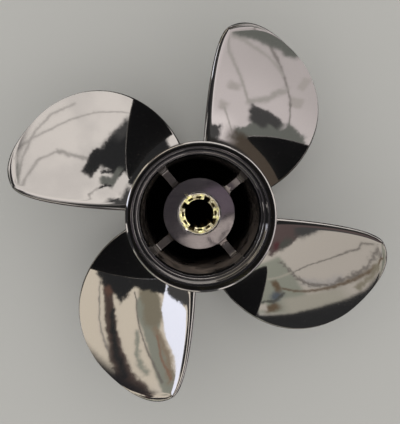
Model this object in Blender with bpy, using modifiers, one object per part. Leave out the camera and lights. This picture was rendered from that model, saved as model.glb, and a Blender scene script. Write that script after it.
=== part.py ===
"""Four-blade outboard boat propeller with a through-hub exhaust, at its real size in metres.

+Z runs aft along the shaft. The origin is the centre of the barrel's forward rim, on which the propeller stands.
The casting holds the barrel, hub, ribs and blades in one piece. A rubber bush and a splined sleeve sit in its hub.
"""

import math

import bmesh
import bpy
from mathutils import Matrix, Vector

FIT_GAP = 0.0003
JOIN_OVERLAP = 0.0020
CUT_MARGIN = 0.0020

# Barrel: the round outer tube of the casting, which flares towards its aft rim
BARREL_LENGTH = 0.112
BARREL_RADIUS = 0.0520
BARREL_WALL = 0.0045
BARREL_EDGE = 0.0010
FLARE_RADIUS = 0.0600
FLARE_LENGTH = 0.040
FLARE_POWER = 1.6
FLARE_POINTS = 6
RIM_WALL = 0.0016
RIM_EDGE = 0.0005

# Machined ledges inside the flare: how far each lies below the rim, and the wall left outside it
LEDGE_DROPS = (0.024, 0.019, 0.009)
LEDGE_WALLS = (0.0038, 0.0026, 0.0020)
LEDGE_WIDTH = 0.0014
INNER_WALL_DROP = 0.031

# Hub: the inner tube, which holds the rubber bush behind an end plate round the sleeve
HUB_RADIUS = 0.0305
HUB_START = 0.010
HUB_END = 0.0705
HUB_PLATE = 0.0060
HUB_EDGE = 0.0012

# Ribs that carry the hub in the barrel
RIB_COUNT = 4
RIB_THICKNESS = 0.0066
RIB_START = 0.013
RIB_END = 0.0660
RIB_ANGLE = math.radians(40)

# Blades: right-handed helical surfaces, seen from aft in the outlines below
BLADE_COUNT = 4
BLADE_PITCH = 0.356
BLADE_RAKE = 0.15
BLADE_MIDDLE_ANGLE = math.radians(52)
BLADE_MIDDLE_HEIGHT = 0.0455
BLADE_SINK = 0.0012
ROOT_THICKNESS = 0.0105
TIP_THICKNESS = 0.0042
ROOT_EDGE_THICKNESS = 0.0036
TIP_EDGE_THICKNESS = 0.0020
ROOT_FILLET = 0.0090
CUP_DEPTH = 0.0030
CUP_WIDTH = 0.0110
CHORD_STEPS = 14
SPAN_STEPS = 14

# Blade outline, a curve with two handles for each of its three edges, in the plane across the shaft
LEADING_ROOT_ANGLE = math.radians(11.1)
TRAILING_ROOT_ANGLE = math.radians(84.0)
LEADING_HANDLES = ((0.0983, 0.0285), (0.1255, 0.0813))
SHOULDER = (0.0908, 0.1251)
TIP_HANDLES = ((0.0803, 0.1384), (0.0479, 0.1684))
TIP_CORNER = (0.0235, 0.1521)
TRAILING_HANDLES = ((0.0058, 0.0924), (0.0116, 0.1441))

# Rubber bush bonded between the hub and the sleeve
BUSH_RADIUS = 0.0252
BUSH_START = 0.013

# Splined brass sleeve that takes the propeller shaft
SLEEVE_RADIUS = 0.0178
SLEEVE_START = 0.004
SLEEVE_END_DROP = 0.0015
SLEEVE_EDGE = 0.0006
SPLINE_COUNT = 12
SPLINE_TIP_RADIUS = 0.0125
SPLINE_ROOT_RADIUS = 0.0150
SPLINE_ANGLE = math.radians(62)
GROOVE_SHARE = 0.55
NOTCH_COUNT = 4
NOTCH_WIDTH = 0.0052
NOTCH_RADIUS = 0.0163
NOTCH_DEPTH = 0.009
TAPER_WALL = 0.0018
TAPER_DEPTH = 0.005

BARREL_SEGMENTS = 72
HUB_SEGMENTS = 60
SLEEVE_SEGMENTS = 60
SHARP_ANGLE = math.radians(32)


def new_collection(name):
    collection = bpy.data.collections.new(name)
    bpy.context.scene.collection.children.link(collection)
    return collection


def new_material(name, colour, roughness, metallic):
    material = bpy.data.materials.new(name)
    material.use_nodes = True
    shader = material.node_tree.nodes["Principled BSDF"]
    shader.inputs["Base Color"].default_value = (*colour, 1)
    shader.inputs["Roughness"].default_value = roughness
    shader.inputs["Metallic"].default_value = metallic
    material.diffuse_color = (*colour, 1)
    return material


def new_object(name, mesh, collection):
    obj = bpy.data.objects.new(name, mesh)
    collection.objects.link(obj)
    if collection == helpers:
        obj.hide_render = True
        obj.display_type = "WIRE"
    return obj


def turned(name, profile, segments, collection):
    """A closed profile of (radius, height) points, turned about the shaft. It runs down its outer side first."""
    mesh = bpy.data.meshes.new(name)
    edges = [(i, (i + 1) % len(profile)) for i in range(len(profile))]
    mesh.from_pydata([(radius, 0, height) for radius, height in profile], edges, [])
    obj = new_object(name, mesh, collection)
    turn = obj.modifiers.new("turn", "SCREW")
    turn.steps = segments
    turn.render_steps = segments
    turn.use_merge_vertices = True
    turn.merge_threshold = 0.0001
    return obj


def prism(name, outline, low, high, collection):
    """A flat outline across the shaft, drawn out from one height to another."""
    shape = bmesh.new()
    base = shape.faces.new([shape.verts.new((x, y, low)) for x, y in outline])
    drawn = bmesh.ops.extrude_face_region(shape, geom=[base])["geom"]
    moved = [part for part in drawn if isinstance(part, bmesh.types.BMVert)]
    bmesh.ops.translate(shape, vec=(0, 0, high - low), verts=moved)
    bmesh.ops.recalc_face_normals(shape, faces=shape.faces)
    mesh = bpy.data.meshes.new(name)
    shape.to_mesh(mesh)
    shape.free()
    return new_object(name, mesh, collection)


def block(name, low, high, angle, collection):
    """A box between two corners, turned about the shaft."""
    shape = bmesh.new()
    bmesh.ops.create_cube(shape, size=1)
    size = Vector(high) - Vector(low)
    middle = (Vector(high) + Vector(low)) / 2
    bmesh.ops.scale(shape, vec=size, verts=shape.verts)
    bmesh.ops.translate(shape, vec=middle, verts=shape.verts)
    mesh = bpy.data.meshes.new(name)
    shape.to_mesh(mesh)
    shape.free()
    obj = new_object(name, mesh, collection)
    obj.rotation_euler.z = angle
    return obj


def boolean(obj, other, operation):
    """Joins an object or a collection of objects to this one, or cuts it away."""
    step = obj.modifiers.new(other.name, "BOOLEAN")
    step.operation = operation
    step.solver = "EXACT"
    if isinstance(other, bpy.types.Collection):
        step.operand_type = "COLLECTION"
        step.collection = other
    else:
        step.object = other


def finish(obj, material):
    """Replaces the modifiers by their result, shades it smooth and gives it its material."""
    bpy.context.view_layer.update()
    graph = bpy.context.evaluated_depsgraph_get()
    mesh = bpy.data.meshes.new_from_object(obj.evaluated_get(graph))
    mesh.name = obj.name
    obj.modifiers.clear()
    obj.data = mesh
    mesh.materials.clear()
    mesh.materials.append(material)
    mesh.shade_smooth()
    mesh.set_sharp_from_angle(angle=SHARP_ANGLE)


def outer_radius(height):
    """The barrel's outside radius at a height, in its flare too."""
    share = (height - (BARREL_LENGTH - FLARE_LENGTH)) / FLARE_LENGTH
    share = min(max(share, 0.0), 1.0)
    return BARREL_RADIUS + (FLARE_RADIUS - BARREL_RADIUS) * share**FLARE_POWER


def barrel_profile():
    rim = BARREL_LENGTH
    inner = BARREL_RADIUS - BARREL_WALL
    points = [(FLARE_RADIUS - RIM_EDGE, rim), (FLARE_RADIUS, rim - RIM_EDGE)]
    for step in range(1, FLARE_POINTS + 1):
        height = rim - FLARE_LENGTH * step / FLARE_POINTS
        points.append((outer_radius(height), height))
    points += [(BARREL_RADIUS, BARREL_EDGE), (BARREL_RADIUS - BARREL_EDGE, 0)]
    points += [(inner + BARREL_EDGE, 0), (inner, BARREL_EDGE), (inner, rim - INNER_WALL_DROP)]
    for drop, wall in zip(LEDGE_DROPS, LEDGE_WALLS):
        radius = outer_radius(rim - drop) - wall
        points += [(radius - LEDGE_WIDTH, rim - drop), (radius, rim - drop)]
    points.append((FLARE_RADIUS - RIM_WALL, rim - RIM_EDGE))
    return points


def hub_profile():
    bore = BUSH_RADIUS + FIT_GAP
    hole = SLEEVE_RADIUS + FIT_GAP
    return [
        (HUB_RADIUS - HUB_EDGE, HUB_END),
        (HUB_RADIUS, HUB_END - HUB_EDGE),
        (HUB_RADIUS, HUB_START + HUB_EDGE),
        (HUB_RADIUS - HUB_EDGE, HUB_START),
        (bore, HUB_START),
        (bore, HUB_END - HUB_PLATE),
        (hole, HUB_END - HUB_PLATE),
        (hole, HUB_END),
    ]


def bezier(start, handles, end, share):
    """A point on a curve with two handles, at a share of its way."""
    left = 1 - share
    weights = (left**3, 3 * left**2 * share, 3 * left * share**2, share**3)
    corners = (start, *handles, end)
    return sum((Vector(corner) * weight for corner, weight in zip(corners, weights)), Vector((0, 0)))


def across(radius, angle):
    return Vector((radius * math.cos(angle), radius * math.sin(angle)))


def helix_height(radius, angle):
    """How high a blade's aft face lies."""
    turned_by = (angle - BLADE_MIDDLE_ANGLE) / (2 * math.pi)
    return BLADE_MIDDLE_HEIGHT + turned_by * BLADE_PITCH + BLADE_RAKE * (radius - BARREL_RADIUS)


def root_radius(angle):
    """The radius at which the aft face meets the barrel."""
    return outer_radius(helix_height(BARREL_RADIUS, angle))


def plan_point(chord, span):
    """A point in the outline: chord runs from leading to trailing edge, span from root to tip, both from 0 to 1."""
    angles = (LEADING_ROOT_ANGLE, TRAILING_ROOT_ANGLE)
    root_angle = angles[0] + (angles[1] - angles[0]) * chord
    roots = [across(root_radius(angle), angle) for angle in angles]
    root = across(root_radius(root_angle), root_angle)
    tip = bezier(SHOULDER, TIP_HANDLES, TIP_CORNER, chord)
    leading = bezier(roots[0], LEADING_HANDLES, SHOULDER, span)
    trailing = bezier(roots[1], TRAILING_HANDLES, TIP_CORNER, span)
    between_ends = root * (1 - span) + tip * span
    between_edges = leading * (1 - chord) + trailing * chord
    root_line = roots[0] * (1 - chord) + roots[1] * chord
    tip_line = Vector(SHOULDER) * (1 - chord) + Vector(TIP_CORNER) * chord
    return between_ends + between_edges - root_line * (1 - span) - tip_line * span


def blade_point(chord, span, forward):
    """A point of the blade's skin: its aft face is the helix with a cup, and its forward face carries the thickness."""
    plan = plan_point(chord, span)
    radius = plan.length
    angle = math.atan2(plan.y, plan.x)
    height = helix_height(radius, angle)
    reach = SHOULDER_REACH - BARREL_RADIUS
    out = min(max((radius - BARREL_RADIUS) / reach, 0.0), 1.0)
    bulge = (4 * chord * (1 - chord)) ** 0.8 * math.sqrt(max(1 - span**4, 0))
    edge = ROOT_EDGE_THICKNESS + (TIP_EDGE_THICKNESS - ROOT_EDGE_THICKNESS) * out
    middle = ROOT_THICKNESS + (TIP_THICKNESS - ROOT_THICKNESS) * out
    thickness = edge + (middle - edge) * bulge
    rise = min(max(radius - outer_radius(height), 0.0), ROOT_FILLET)
    fillet = ROOT_FILLET - math.sqrt(ROOT_FILLET**2 - (ROOT_FILLET - rise) ** 2)
    fillet *= (4 * chord * (1 - chord)) ** 0.4
    edge_near = min((plan_point(1, span) - plan).length, (plan_point(chord, 1) - plan).length)
    cup = CUP_DEPTH * max(0.0, 1 - edge_near / CUP_WIDTH) ** 2
    depth = thickness + fillet if forward else -fillet
    slope = math.atan2(BLADE_PITCH, 2 * math.pi * radius)
    angle += depth * math.sin(slope) / radius
    height += cup - depth * math.cos(slope)
    if span == 0:
        radius = outer_radius(height) - BLADE_SINK
    return (*across(radius, angle), height)


def blade(name, angle, collection):
    """A flat grid given a thickness, whose points then take their places on the blade's skin."""
    shape = bmesh.new()
    bmesh.ops.create_grid(shape, x_segments=CHORD_STEPS, y_segments=SPAN_STEPS, size=1)
    drawn = bmesh.ops.extrude_face_region(shape, geom=shape.faces[:])["geom"]
    moved = [part for part in drawn if isinstance(part, bmesh.types.BMVert)]
    bmesh.ops.translate(shape, vec=(0, 0, 1), verts=moved)
    for vert in shape.verts:
        chord = (1 - math.cos(math.pi * (vert.co.x + 1) / 2)) / 2
        span = ((vert.co.y + 1) / 2) ** 1.4
        vert.co = blade_point(chord, span, vert.co.z < 0.5)
    bmesh.ops.recalc_face_normals(shape, faces=shape.faces)
    mesh = bpy.data.meshes.new(name)
    shape.to_mesh(mesh)
    shape.free()
    obj = new_object(name, mesh, collection)
    obj.rotation_euler.z = angle
    return obj


def spline_outline():
    """The bore's outline: a groove, then the land beside it, all the way round."""
    step = 2 * math.pi / SPLINE_COUNT
    half = step * GROOVE_SHARE / 2
    points = []
    for index in range(SPLINE_COUNT):
        middle = SPLINE_ANGLE + index * step
        for radius, offset in (
            (SPLINE_TIP_RADIUS, -half),
            (SPLINE_ROOT_RADIUS, -half * 0.8),
            (SPLINE_ROOT_RADIUS, half * 0.8),
            (SPLINE_TIP_RADIUS, half),
        ):
            points.append(across(radius, middle + offset))
    return points


for old in list(bpy.data.objects):
    bpy.data.objects.remove(old)

propeller = new_collection("boat_propeller")
helpers = new_collection("boat_propeller_helpers")
SHOULDER_REACH = Vector(SHOULDER).length

paint = new_material("gloss_black_paint", (0.012, 0.012, 0.013), 0.10, 0.0)
rubber = new_material("bush_rubber", (0.020, 0.020, 0.020), 0.80, 0.0)
brass = new_material("sleeve_brass", (0.72, 0.62, 0.30), 0.35, 1.0)


def make_casting():
    casting = turned("casting", barrel_profile(), BARREL_SEGMENTS, propeller)
    barrel_inner = BARREL_RADIUS - BARREL_WALL
    boolean(casting, turned("hub_tube", hub_profile(), HUB_SEGMENTS, helpers), "UNION")
    for index in range(RIB_COUNT):
        low = (HUB_RADIUS - JOIN_OVERLAP, -RIB_THICKNESS / 2, RIB_START)
        high = (barrel_inner + JOIN_OVERLAP, RIB_THICKNESS / 2, RIB_END)
        angle = RIB_ANGLE + index * 2 * math.pi / RIB_COUNT
        boolean(casting, block(f"rib_{index + 1}", low, high, angle, helpers), "UNION")
    for index in range(BLADE_COUNT):
        angle = index * 2 * math.pi / BLADE_COUNT
        boolean(casting, blade(f"blade_{index + 1}", angle, helpers), "UNION")
    finish(casting, paint)


def make_bush():
    top = HUB_END - HUB_PLATE - FIT_GAP
    hole = SLEEVE_RADIUS + FIT_GAP
    profile = [(BUSH_RADIUS, top), (BUSH_RADIUS, BUSH_START), (hole, BUSH_START), (hole, top)]
    finish(turned("rubber_bush", profile, HUB_SEGMENTS, propeller), rubber)


def make_sleeve():
    top = HUB_END - SLEEVE_END_DROP
    bore = SPLINE_TIP_RADIUS / 2
    profile = [
        (SLEEVE_RADIUS - SLEEVE_EDGE, top),
        (SLEEVE_RADIUS, top - SLEEVE_EDGE),
        (SLEEVE_RADIUS, SLEEVE_START + SLEEVE_EDGE),
        (SLEEVE_RADIUS - SLEEVE_EDGE, SLEEVE_START),
        (bore, SLEEVE_START),
        (bore, top),
    ]
    sleeve = turned("spline_sleeve", profile, SLEEVE_SEGMENTS, propeller)
    splines = prism("splines", spline_outline(), SLEEVE_START - CUT_MARGIN, top + CUT_MARGIN, helpers)
    boolean(sleeve, splines, "DIFFERENCE")
    for index in range(NOTCH_COUNT):
        low = (0, -NOTCH_WIDTH / 2, top - NOTCH_DEPTH)
        high = (NOTCH_RADIUS, NOTCH_WIDTH / 2, top + CUT_MARGIN)
        angle = SPLINE_ANGLE + index * 2 * math.pi / NOTCH_COUNT
        boolean(sleeve, block(f"notch_{index + 1}", low, high, angle, helpers), "DIFFERENCE")
    mouth = SLEEVE_RADIUS - TAPER_WALL
    taper_profile = [(SPLINE_TIP_RADIUS, SLEEVE_START + TAPER_DEPTH), (mouth, SLEEVE_START)]
    taper_profile += [(mouth, SLEEVE_START - CUT_MARGIN), (0, SLEEVE_START - CUT_MARGIN)]
    taper_profile += [(0, SLEEVE_START + TAPER_DEPTH)]
    boolean(sleeve, turned("taper", taper_profile, SLEEVE_SEGMENTS, helpers), "DIFFERENCE")
    finish(sleeve, brass)


make_casting()
make_bush()
make_sleeve()
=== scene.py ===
import math

import bpy
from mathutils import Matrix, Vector, noise as hammer


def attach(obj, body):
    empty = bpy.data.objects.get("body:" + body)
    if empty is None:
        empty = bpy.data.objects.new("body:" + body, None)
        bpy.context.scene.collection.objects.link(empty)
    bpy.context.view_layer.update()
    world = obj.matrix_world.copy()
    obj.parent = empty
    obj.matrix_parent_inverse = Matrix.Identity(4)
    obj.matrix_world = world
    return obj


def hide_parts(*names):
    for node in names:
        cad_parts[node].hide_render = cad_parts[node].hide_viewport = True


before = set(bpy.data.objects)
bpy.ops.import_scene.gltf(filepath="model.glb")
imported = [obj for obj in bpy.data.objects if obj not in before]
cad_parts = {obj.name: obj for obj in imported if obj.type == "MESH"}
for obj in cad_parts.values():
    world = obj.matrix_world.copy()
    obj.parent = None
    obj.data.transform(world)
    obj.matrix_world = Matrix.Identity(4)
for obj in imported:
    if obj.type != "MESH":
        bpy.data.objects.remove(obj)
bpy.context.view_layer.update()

# Barrel: the outer tube of the one-piece aluminium casting, which the blades stand on. Exhaust
# leaves through it. It is cast, turned on a lathe inside its flared aft end, where three steps
# stay visible, and painted gloss black.
BARREL_LENGTH = 0.112
BARREL_RADIUS = 0.0520
BARREL_EDGE = 0.0010
STRAIGHT_STATION = 0.045
FLARE_RADIUS = 0.0600
FLARE_LENGTH = 0.040
FLARE_POWER = 1.6
FLARE_STEPS = 20
RIM_WALL = 0.00207
RIM_CLEARANCE = 0.00002
INNER_WALL = ((0.0460, 0.0010), (0.0461, 0.0300), (0.0464, 0.0660), (0.0488, 0.0865))
# Each step's radius where it starts and ends, its height, and the size of its round.
BORED_STEPS = (
    (0.0501, 0.0511, 0.0910, 0.0001),
    (0.0513, 0.0530, 0.0955, 0.0006),
    (0.0544, 0.0558, 0.1020, 0.0003),
)
BELL_POINTS = (
    (0.0559, 0.1073), (0.0559, 0.1074), (0.055945, 0.1075), (0.05671, 0.1092), (0.05733, 0.1106),
)
# Rounds, as how far in and how far down or up each point lies, the last two in shares of a size.
RIM_ROUND = (
    (0.0014, 0.0), (0.00125, 0.00006), (0.0004, 0.00043), (0.00025, 0.00052), (0.0, 0.0010),
)
FOOT_ROUND = ((0.0, 1.0), (0.13, 0.5), (0.5, 0.13), (1.0, 0.0), (1.5, 0.0))
STEP_ROUND = ((0.0, 2.5), (0.0, 1.0), (0.3, 0.3), (1.0, 0.0), (1.8, 0.0))
BARREL_SEGMENTS = 240
TURNED_ANGLE = math.radians(52)
PAINT_BLACK = (0.0075, 0.0075, 0.0080, 1)
DUST_GREY = (0.19, 0.17, 0.15, 1)
# The brown of the inside's film, laid on more heavily towards -y as painted light.
FILM_AND_LIGHT_BROWN = (0.155, 0.125, 0.105, 1)
FILM_RADIUS = 0.0493
FILM_HEIGHT = 0.0868
PEEL_HEIGHT = 0.0000022
WAVE_HEIGHT = 0.00005
GRIT_HEIGHT = 0.00003
COAT_ROUGHNESS = 0.03
COAT_IOR = 1.6
SCUFF_ROUGHNESS = 0.25
DUST_ROUGHNESS = 0.8


def outer_radius(height):
    """The barrel's outside radius at a height, in its flare too."""
    share = (height - (BARREL_LENGTH - FLARE_LENGTH)) / FLARE_LENGTH
    share = min(max(share, 0.0), 1.0)
    return BARREL_RADIUS + (FLARE_RADIUS - BARREL_RADIUS) * share**FLARE_POWER


def edit_all():
    """Opens the active piece for editing with all of it selected."""
    bpy.ops.object.mode_set(mode="EDIT")
    bpy.ops.mesh.select_mode(type="VERT")
    bpy.ops.mesh.select_all(action="SELECT")


def named(name):
    """Names the piece that was just added, and hands it over."""
    piece = bpy.context.object
    piece.name = name
    piece.data.name = name
    return piece


def turned_ring(name, profile, segments):
    """A circle drawn out through the profile's (radius, height) points and closed on itself."""
    bpy.ops.object.select_all(action="DESELECT")
    radius, height = profile[0]
    bpy.ops.mesh.primitive_circle_add(vertices=segments, radius=radius, location=(0, 0, height))
    piece = named(name)
    bpy.ops.object.transform_apply(location=True)
    edit_all()
    for next_radius, next_height in profile[1:]:
        rise = (0, 0, next_height - height)
        bpy.ops.mesh.extrude_edges_move(TRANSFORM_OT_translate={"value": rise})
        grow = next_radius / radius
        bpy.ops.transform.resize(value=(grow, grow, 1), center_override=(0, 0, next_height))
        radius, height = next_radius, next_height
    bpy.ops.mesh.select_mode(type="EDGE")
    bpy.ops.mesh.select_all(action="DESELECT")
    bpy.ops.mesh.select_non_manifold()
    bpy.ops.mesh.bridge_edge_loops()
    bpy.ops.mesh.select_all(action="SELECT")
    bpy.ops.mesh.normals_make_consistent(inside=False)
    bpy.ops.object.mode_set(mode="OBJECT")
    return piece


def dress(piece, material, slot, *nodes):
    """Gives a finished piece its finish, hangs it on the root body, and hides the CAD parts it
    stands for.
    """
    piece.data.materials.clear()
    piece.data.materials.append(material)
    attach(piece, "root")
    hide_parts(*nodes)


def new_material(name):
    """A material with its node tree and its shader."""
    material = bpy.data.materials.new(name)
    material.use_nodes = True
    return material, material.node_tree, material.node_tree.nodes["Principled BSDF"]


def place(tree, kind, values=None, **settings):
    """Adds a node, and fills its inputs, by name or number, with values or with other sockets."""
    made = tree.nodes.new(kind)
    for key, value in settings.items():
        setattr(made, key, value)
    for key, value in (values or {}).items():
        if isinstance(value, bpy.types.NodeSocket):
            tree.links.new(value, made.inputs[key])
        else:
            made.inputs[key].default_value = value
    return made


def new_group(name, inputs, outputs):
    """A shader node group with named number inputs and outputs, and its two end nodes."""
    tree = bpy.data.node_groups.new(name, "ShaderNodeTree")
    for label, value in inputs.items():
        socket = tree.interface.new_socket(label, in_out="INPUT", socket_type="NodeSocketFloat")
        socket.default_value = value
    for label in outputs:
        tree.interface.new_socket(label, in_out="OUTPUT", socket_type="NodeSocketFloat")
    return tree, place(tree, "NodeGroupInput"), place(tree, "NodeGroupOutput")


def math_node(tree, operation, *values, **settings):
    """Arithmetic on numbers."""
    values = dict(enumerate(values))
    return place(tree, "ShaderNodeMath", values, operation=operation, **settings).outputs[0]


def times(tree, first, second):
    return math_node(tree, "MULTIPLY", first, second)


def vector_node(tree, operation, values, output=0):
    """Arithmetic on vectors. Where the result is a number, the output has the name Value."""
    return place(tree, "ShaderNodeVectorMath", values, operation=operation).outputs[output]


def piece_place(tree):
    """The piece's own coordinates."""
    return place(tree, "ShaderNodeTexCoord").outputs["Object"]


def flat_vector(tree, first, second):
    return place(tree, "ShaderNodeCombineXYZ", {0: first, 1: second}).outputs[0]


def from_shaft(tree, where):
    """A place's x, y and z, and how far it lies from the shaft's axis."""
    apart = place(tree, "ShaderNodeSeparateXYZ", {0: where}).outputs
    level = flat_vector(tree, apart[0], apart[1])
    return apart, vector_node(tree, "LENGTH", {0: level}, "Value")


def stretched(tree, where, rotation, scale):
    """A place in a pattern that is turned and drawn out."""
    values = {"Vector": where, "Rotation": rotation, "Scale": scale}
    return place(tree, "ShaderNodeMapping", values).outputs[0]


def noise(tree, where, scale, detail=2.0, roughness=0.5):
    values = {"Vector": where, "Scale": scale, "Detail": detail, "Roughness": roughness}
    return place(tree, "ShaderNodeTexNoise", values).outputs[0]


def smooth_step(tree, value, low, high):
    """0 below low, 1 above high, and a soft way between them."""
    values = {"Value": value, "From Min": low, "From Max": high}
    ranged = place(tree, "ShaderNodeMapRange", values, interpolation_type="SMOOTHSTEP")
    return ranged.outputs[0]


def mixed(tree, share, first, second):
    """Two colours mixed by a share."""
    values = {0: share, 6: first, 7: second}
    return place(tree, "ShaderNodeMix", values, data_type="RGBA").outputs[2]


def blended(tree, share, first, second):
    """Two numbers mixed by a share."""
    return place(tree, "ShaderNodeMix", {0: share, 2: first, 3: second}).outputs[0]


def raise_surface(tree, shader, height):
    """Gives a material its relief."""
    bump = place(tree, "ShaderNodeBump", {"Height": height, "Distance": 1.0, "Strength": 1.0})
    tree.links.new(bump.outputs[0], shader.inputs["Normal"])


def relief_group():
    """Height of a painted casting: the paint's fine skin, its grit, and the slow waves below."""
    inputs = {"Peel": 1.0, "Wave": 1.0, "Grit": 0.0}
    tree, given, result = new_group("painted_relief", inputs, ["Height"])
    where = piece_place(tree)
    peel = times(tree, noise(tree, where, 620, 2), given.outputs["Peel"])
    wave = times(tree, noise(tree, where, 42, 3), given.outputs["Wave"])
    grit = times(tree, noise(tree, where, 2100, 4, 0.65), given.outputs["Grit"])
    height = times(tree, peel, PEEL_HEIGHT)
    height = math_node(tree, "MULTIPLY_ADD", wave, WAVE_HEIGHT, height)
    height = math_node(tree, "MULTIPLY_ADD", grit, GRIT_HEIGHT, height)
    tree.links.new(height, result.inputs["Height"])
    return tree


def wear_group():
    """Masks of dust, which lies in drifts and in single specks, and of fine scuffs."""
    inputs = {"Dust": 0.5, "Specks": 0.5, "Scuffs": 0.5}
    tree, given, result = new_group("dust_and_scuffs", inputs, ["Dust", "Scuffs"])
    where = piece_place(tree)
    cloud = smooth_step(tree, noise(tree, where, 38, 5, 0.62), 0.46, 0.80)
    drift = times(tree, cloud, noise(tree, where, 900, 3, 0.7))
    drift = times(tree, drift, given.outputs["Dust"])
    speck = smooth_step(tree, noise(tree, where, 1300, 1), 0.76, 0.80)
    speck = times(tree, speck, given.outputs["Specks"])
    dust = math_node(tree, "ADD", drift, speck, use_clamp=True)
    along = stretched(tree, where, (0.3, 0.2, 0.7), (1, 14, 3))
    scuff = smooth_step(tree, noise(tree, along, 130, 4, 0.7), 0.60, 0.72)
    scuff = times(tree, scuff, given.outputs["Scuffs"])
    tree.links.new(dust, result.inputs["Dust"])
    tree.links.new(scuff, result.inputs["Scuffs"])
    return tree


def inside_film_and_light_group():
    """Mask of a film of exhaust and dust in the barrel's inside below its steps, laid on more
    heavily towards -y as painted light.
    """
    inputs = {"Radius": FILM_RADIUS, "Height": FILM_HEIGHT}
    tree, given, result = new_group("inside_film_and_painted_light", inputs, ["Film"])
    where = piece_place(tree)
    apart, radius = from_shaft(tree, where)
    within = math_node(tree, "LESS_THAN", radius, given.outputs["Radius"])
    below = math_node(tree, "LESS_THAN", apart[2], given.outputs["Height"])
    streaks = smooth_step(tree, noise(tree, where, 55, 5, 0.6), 0.20, 0.75)
    # Painted light: the brown grows stronger towards -y, the side of the wall that the camera sees
    # lit.
    lie = {"Value": apart[1], 1: 0.030, 2: -0.045, 3: 0.25, 4: 1.0}
    painted_light_side = place(tree, "ShaderNodeMapRange", lie).outputs[0]
    film_and_light = times(tree, times(tree, within, below), streaks)
    film_and_light = times(tree, film_and_light, painted_light_side)
    tree.links.new(film_and_light, result.inputs["Film"])
    return tree


RELIEF = relief_group()
WEAR = wear_group()
INSIDE = inside_film_and_light_group()


def paint(name, colour, roughness, coat, relief, wear, tint=None, film_and_light=None):
    """Black paint. relief is (peel, wave, grit) and wear is (dust, specks, scuffs)."""
    material, tree, shader = new_material(name)
    surface = place(tree, "ShaderNodeGroup", node_tree=RELIEF)
    marks = place(tree, "ShaderNodeGroup", node_tree=WEAR)
    for node, values in ((surface, relief), (marks, wear)):
        for socket, value in zip(node.inputs, values):
            socket.default_value = value
    clouds = smooth_step(tree, noise(tree, piece_place(tree), 24, 4), 0.35, 0.70)
    shade = mixed(tree, clouds, colour, tint or colour)
    covering = marks.outputs["Dust"]
    if film_and_light:
        inside = place(tree, "ShaderNodeGroup", node_tree=INSIDE).outputs["Film"]
        shade = mixed(tree, inside, shade, film_and_light)
        covering = math_node(tree, "MAXIMUM", covering, inside)
    shade = mixed(tree, marks.outputs["Dust"], shade, DUST_GREY)
    tree.links.new(shade, shader.inputs["Base Color"])
    scuffed = min(roughness + SCUFF_ROUGHNESS, DUST_ROUGHNESS)
    rough = blended(tree, marks.outputs["Scuffs"], roughness, scuffed)
    rough = blended(tree, covering, rough, DUST_ROUGHNESS)
    tree.links.new(rough, shader.inputs["Roughness"])
    covered = math_node(tree, "SUBTRACT", 1.0, covering)
    covered = times(tree, covered, coat)
    tree.links.new(covered, shader.inputs["Coat Weight"])
    shader.inputs["Coat Roughness"].default_value = COAT_ROUGHNESS
    shader.inputs["Coat IOR"].default_value = COAT_IOR
    raise_surface(tree, shader, surface.outputs["Height"])
    return material


gloss = ("gloss_black_paint", PAINT_BLACK, 0.05, 1.0, (2.0, 1.0, 0.0), (0.02, 0.5, 0.1))
gloss_paint = paint(*gloss)
turned = ("barrel_paint", PAINT_BLACK, 0.05, 1.0, (0.6, 0.3, 0.0), (0.02, 0.5, 0.1))
barrel_paint = paint(*turned, film_and_light=FILM_AND_LIGHT_BROWN)


def barrel_profile():
    """Down the outside from the aft rim, and back up the inside over the lathe's steps."""
    rim = BARREL_LENGTH - RIM_CLEARANCE
    points = [(FLARE_RADIUS - inward, rim - down) for inward, down in RIM_ROUND]
    for step in range(1, FLARE_STEPS + 1):
        height = rim - FLARE_LENGTH * step / FLARE_STEPS
        points.append((outer_radius(height), height))
    points += [(BARREL_RADIUS, STRAIGHT_STATION), (BARREL_RADIUS, 1.5 * BARREL_EDGE)]
    for inward, up in FOOT_ROUND:
        points.append((BARREL_RADIUS - inward * BARREL_EDGE, up * BARREL_EDGE))
    points += [(INNER_WALL[0][0] + BARREL_EDGE, 0), *INNER_WALL]
    for inside, outside, height, edge in BORED_STEPS:
        for out, down in STEP_ROUND:
            points.append((inside + out * edge, height - down * edge))
        points.append((outside, height))
    points += [*BELL_POINTS, (FLARE_RADIUS - RIM_WALL, rim)]
    return points


barrel = turned_ring("barrel", barrel_profile(), BARREL_SEGMENTS)
bpy.ops.object.shade_smooth_by_angle(angle=TURNED_ANGLE)
dress(barrel, barrel_paint, "gloss_black_paint", "casting")

# Hub: the inner tube of the casting. Its flat aft face goes round the brass sleeve and bears the
# nut's washer. The face is machined after casting and painted with the rest, and use has dulled
# and scuffed it.
HUB_RADIUS = 0.0305
HUB_START = 0.010
HUB_END = 0.0705
HUB_PLATE = 0.0060
HUB_SEGMENTS = 180
HUB_ROUND = 0.0006
BUSH_RADIUS = 0.0252
SLEEVE_RADIUS = 0.0178
FIT_GAP = 0.0003
SHARP_ANGLE = math.radians(34)
HUB_BLACK = (0.007, 0.006, 0.008, 1)
HUB_TINT = (0.014, 0.011, 0.014, 1)
SCRATCH_DEPTH = 0.000004
SCRATCH_HALF = 0.020
# Scratches that run three ways: turn in degrees, how far drawn out, and how close together.
SCRATCH_LAYERS = ((15, 7, 60), (75, 9, 80), (130, 6, 70))


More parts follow.
